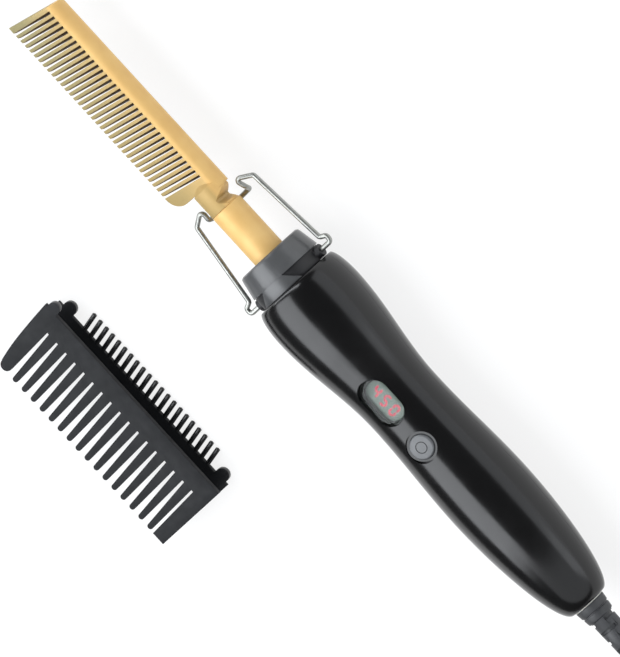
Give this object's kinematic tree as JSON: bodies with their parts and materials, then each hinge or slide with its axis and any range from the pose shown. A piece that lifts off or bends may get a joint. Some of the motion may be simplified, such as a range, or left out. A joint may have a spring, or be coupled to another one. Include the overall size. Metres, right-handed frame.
{
  "type": "hot_comb",
  "caption": "Electric hot comb with a gold slotted comb head, folding wire stand, digital display, power button, swivel mains lead and a clip-on comb guard",
  "frame": {"origin": "on the floor, under the middle of the tool with its guard, the mains lead left out", "axes": "+X from the comb's tip to the mains lead, teeth to -Y, display to +Z"},
  "size_m": [0.4964, 0.1376, 0.0378],
  "materials": {
    "gold": "polished",
    "steel": "satin",
    "black_gloss": "gloss",
    "black_matte": "matte",
    "grey_satin": "satin",
    "guard_grey": "matte",
    "resin_brown": "matte",
    "ceramic_white": "matte",
    "lens_glass": "gloss",
    "board_green": "satin",
    "copper": "satin",
    "relief_rubber": "matte",
    "cord_rubber": "matte"
  },
  "bodies": {
    "comb": {"comb_head": "gold", "heater_strip": "ceramic_white", "temperature_sensor": "ceramic_white", "heater_leads": "cord_rubber", "thermal_fuse": "steel", "stem_tube": "gold", "stem_bush": "resin_brown", "retaining_ring": "steel", "nose_collar": "grey_satin", "stand_bracket": "black_matte", "handle_top": "black_gloss", "handle_bottom": "black_gloss", "shell_screws": "steel", "display_lens": "lens_glass", "display_module": "grey_satin", "button_switch": "black_matte", "control_board": "board_green", "board_screws": "steel", "film_capacitor": "resin_brown", "power_triac": "black_matte", "supply_leads": "cord_rubber", "contact_springs": "copper", "swivel_socket": "resin_brown", "cord_lead": "cord_rubber", "cord_coil": "cord_rubber", "cord_tail": "cord_rubber", "cord_tie": "black_matte", "plug_body": "cord_rubber", "plug_pins": "steel"},
    "stand": {"stand_wire": "steel"},
    "button": {"power_button": "black_gloss"},
    "swivel": {"swivel_spindle": "black_matte", "slip_rings": "copper", "strain_relief": "relief_rubber"},
    "guard": {"comb_guard": "guard_grey"}
  },
  "joints": [
    {"name": "stand_pivot", "type": "hinge", "parent": "comb", "child": "stand", "pos_m": [-0.01175, 0.04593, 0.0189], "axis": [0, -1, 0], "range_deg": [0, 80]},
    {"name": "power_press", "type": "slide", "parent": "comb", "child": "button", "axis": [0, 0, -1], "range_m": [0, 0.0008], "stiffness_N_per_m": 800},
    {"name": "cord_swivel", "type": "hinge", "parent": "comb", "child": "swivel", "pos_m": [0.13005, 0.04593, 0.0189], "axis": [1, 0, 0], "continuous": true},
    {"name": "guard_lift", "type": "slide", "parent": "comb", "child": "guard", "axis": [0, 0, 1], "range_m": [0, 0.08]}
  ]
}
